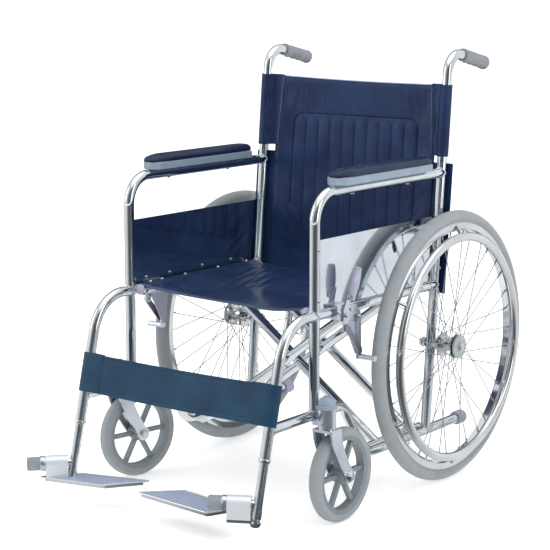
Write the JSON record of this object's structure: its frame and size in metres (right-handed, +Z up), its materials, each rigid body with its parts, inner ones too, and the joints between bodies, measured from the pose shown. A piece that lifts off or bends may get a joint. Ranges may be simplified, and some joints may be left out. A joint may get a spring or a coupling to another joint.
{
  "type": "manual wheelchair",
  "caption": "Folding manual wheelchair: chromed tube side frames on a cross brace, spoked rear wheels with handrims, swivel casters, sling seat and flip-up footplates.",
  "frame": {"origin": "on the floor under the centre of the bounding box", "axes": "+Z up, the chair faces -Y, +X is the occupant's left"},
  "size_m": [0.673, 1.0291, 0.9616],
  "materials": {
    "chrome_tube": "polished chrome plate",
    "chrome_cast": "chrome plate over pressed steel",
    "dark_steel": "dark plated steel",
    "zinc_bolt": "zinc plate",
    "grey_grip": "matte moulded PVC",
    "grey_moulding": "fine moulded grain",
    "navy_pad": "glossy moulded skin",
    "polished_panel": "mirror polished sheet",
    "grey_tyre": "matte light grey rubber",
    "chrome_rim": "polished chrome plate",
    "spoke_wire": "bright drawn wire",
    "chrome_hub": "chrome plate",
    "grey_wheel": "moulded grey plastic",
    "polished_plate": "polished, with a light top",
    "navy_vinyl": "glossy PVC cloth",
    "teal_vinyl": "glossy PVC cloth"
  },
  "bodies": {
    "left_frame": {"rear_post_left": "chrome_tube", "arm_tube_left": "chrome_tube", "side_rail_left": "chrome_tube", "lower_rail_left": "chrome_tube", "caster_barrel_left": "chrome_cast", "grip_left": "grey_grip", "rear_tip_left": "grey_grip", "arm_base_left": "grey_moulding", "arm_pad_left": "navy_pad", "side_panel_left": "polished_panel", "seat_saddles_left": "chrome_cast", "rear_axle_left": "zinc_bolt", "brake_bracket_left": "chrome_cast", "backrest": "navy_vinyl", "calf_strap": "teal_vinyl"},
    "wheel_left": {"rear_tyre_left": "grey_tyre", "rim_left": "chrome_rim", "spokes_left": "spoke_wire", "hub_left": "chrome_hub", "handrim_left": "chrome_rim"},
    "fork_left": {"caster_fork_left": "chrome_cast", "caster_axle_left": "zinc_bolt"},
    "caster_left": {"caster_wheel_left": "grey_wheel", "caster_tyre_left": "grey_tyre"},
    "brake_lever_left": {"brake_lever_left": "chrome_cast"},
    "brake_link_left": {"brake_link_left": "dark_steel"},
    "brake_shoe_left": {"brake_shoe_left": "chrome_cast"},
    "footrest_left": {"footrest_left": "chrome_tube"},
    "footplate_left": {"footplate_left": "polished_plate"},
    "right_frame": {"rear_post_right": "chrome_tube", "arm_tube_right": "chrome_tube", "side_rail_right": "chrome_tube", "lower_rail_right": "chrome_tube", "caster_barrel_right": "chrome_cast", "grip_right": "grey_grip", "rear_tip_right": "grey_grip", "arm_base_right": "grey_moulding", "arm_pad_right": "navy_pad", "side_panel_right": "polished_panel", "seat_saddles_right": "chrome_cast", "rear_axle_right": "zinc_bolt", "brake_bracket_right": "chrome_cast"},
    "wheel_right": {"rear_tyre_right": "grey_tyre", "rim_right": "chrome_rim", "spokes_right": "spoke_wire", "hub_right": "chrome_hub", "handrim_right": "chrome_rim"},
    "fork_right": {"caster_fork_right": "chrome_cast", "caster_axle_right": "zinc_bolt"},
    "caster_right": {"caster_wheel_right": "grey_wheel", "caster_tyre_right": "grey_tyre"},
    "brake_lever_right": {"brake_lever_right": "chrome_cast"},
    "brake_link_right": {"brake_link_right": "dark_steel"},
    "brake_shoe_right": {"brake_shoe_right": "chrome_cast"},
    "footrest_right": {"footrest_right": "chrome_tube"},
    "footplate_right": {"footplate_right": "polished_plate"},
    "cross_a": {"cross_frame_a": "chrome_tube", "brace_bolts": "zinc_bolt", "seat": "navy_vinyl"},
    "cross_b": {"cross_frame_b": "chrome_tube"}
  },
  "joints": [
    {"name": "fold", "type": "hinge", "parent": "left_frame", "child": "cross_a", "pos_m": [0.226, 0.1103, 0.105], "axis": [0, 1, 0], "range_deg": [0, 41], "deforming": ["seat", "backrest", "calf_strap"]},
    {"name": "fold_middle", "type": "hinge", "parent": "cross_a", "child": "cross_b", "pos_m": [0, 0.1103, 0.273], "axis": [0, 1, 0], "range_deg": [-82, 0]},
    {"name": "fold_right", "type": "hinge", "parent": "cross_b", "child": "right_frame", "pos_m": [-0.226, 0.1103, 0.105], "axis": [0, 1, 0], "range_deg": [0, 41]},
    {"name": "rear_wheel_left", "type": "hinge", "parent": "left_frame", "child": "wheel_left", "pos_m": [0.3, 0.2103, 0.305], "axis": [1, 0, 0], "continuous": true},
    {"name": "caster_swivel_left", "type": "hinge", "parent": "left_frame", "child": "fork_left", "pos_m": [0.285, -0.2467, 0.24], "axis": [0, 0, 1], "continuous": true},
    {"name": "caster_roll_left", "type": "hinge", "parent": "fork_left", "child": "caster_left", "pos_m": [0.285, -0.1967, 0.1], "axis": [1, 0, 0], "continuous": true},
    {"name": "brake_left", "type": "hinge", "parent": "left_frame", "child": "brake_lever_left", "pos_m": [0.27, -0.1617, 0.43], "axis": [1, 0, 0], "range_deg": [0, 28]},
    {"name": "brake_link_left", "type": "hinge", "parent": "brake_lever_left", "child": "brake_link_left", "pos_m": [0.271, -0.1617, 0.404], "axis": [1, 0, 0], "range_deg": [-31, 0]},
    {"name": "brake_shoe_left", "type": "hinge", "parent": "left_frame", "child": "brake_shoe_left", "pos_m": [0.27, -0.1137, 0.42], "axis": [1, 0, 0], "range_deg": [0, 7.5]},
    {"name": "leg_length_left", "type": "slide", "parent": "left_frame", "child": "footrest_left", "axis": [0, 0.2463, 0.9692], "range_m": [-0.015, 0.06]},
    {"name": "footplate_flip_left", "type": "hinge", "parent": "footrest_left", "child": "footplate_left", "pos_m": [0.25, -0.43363, 0.088], "axis": [0.8829, 0.4695, 0], "range_deg": [0, 132]},
    {"name": "rear_wheel_right", "type": "hinge", "parent": "right_frame", "child": "wheel_right", "pos_m": [-0.3, 0.2103, 0.305], "axis": [1, 0, 0], "continuous": true},
    {"name": "caster_swivel_right", "type": "hinge", "parent": "right_frame", "child": "fork_right", "pos_m": [-0.285, -0.2467, 0.24], "axis": [0, 0, 1], "continuous": true},
    {"name": "caster_roll_right", "type": "hinge", "parent": "fork_right", "child": "caster_right", "pos_m": [-0.27546, -0.19762, 0.1], "axis": [0.9816, -0.1908, 0], "continuous": true},
    {"name": "brake_right", "type": "hinge", "parent": "right_frame", "child": "brake_lever_right", "pos_m": [-0.27, -0.1617, 0.43], "axis": [1, 0, 0], "range_deg": [0, 28]},
    {"name": "brake_link_right", "type": "hinge", "parent": "brake_lever_right", "child": "brake_link_right", "pos_m": [-0.271, -0.1617, 0.404], "axis": [1, 0, 0], "range_deg": [-31, 0]},
    {"name": "brake_shoe_right", "type": "hinge", "parent": "right_frame", "child": "brake_shoe_right", "pos_m": [-0.27, -0.1137, 0.42], "axis": [1, 0, 0], "range_deg": [0, 7.5]},
    {"name": "leg_length_right", "type": "slide", "parent": "right_frame", "child": "footrest_right", "axis": [0, 0.2463, 0.9692], "range_m": [-0.015, 0.06]},
    {"name": "footplate_flip_right", "type": "hinge", "parent": "footrest_right", "child": "footplate_right", "pos_m": [-0.25, -0.43363, 0.088], "axis": [-0.6947, -0.7193, 0], "range_deg": [0, 103.3]}
  ],
  "couplings": [
    {"joint": "fold_middle", "follows": "fold", "ratio": -2},
    {"joint": "fold_right", "follows": "fold", "ratio": 1},
    {"joint": "brake_link_left", "follows": "brake_left", "ratio": -1.09},
    {"joint": "brake_shoe_left", "follows": "brake_left", "ratio": 0.26},
    {"joint": "footplate_flip_left", "follows": "fold", "ratio": 3.2},
    {"joint": "brake_link_right", "follows": "brake_right", "ratio": -1.09},
    {"joint": "brake_shoe_right", "follows": "brake_right", "ratio": 0.26},
    {"joint": "footplate_flip_right", "follows": "fold", "ratio": 2.5}
  ]
}
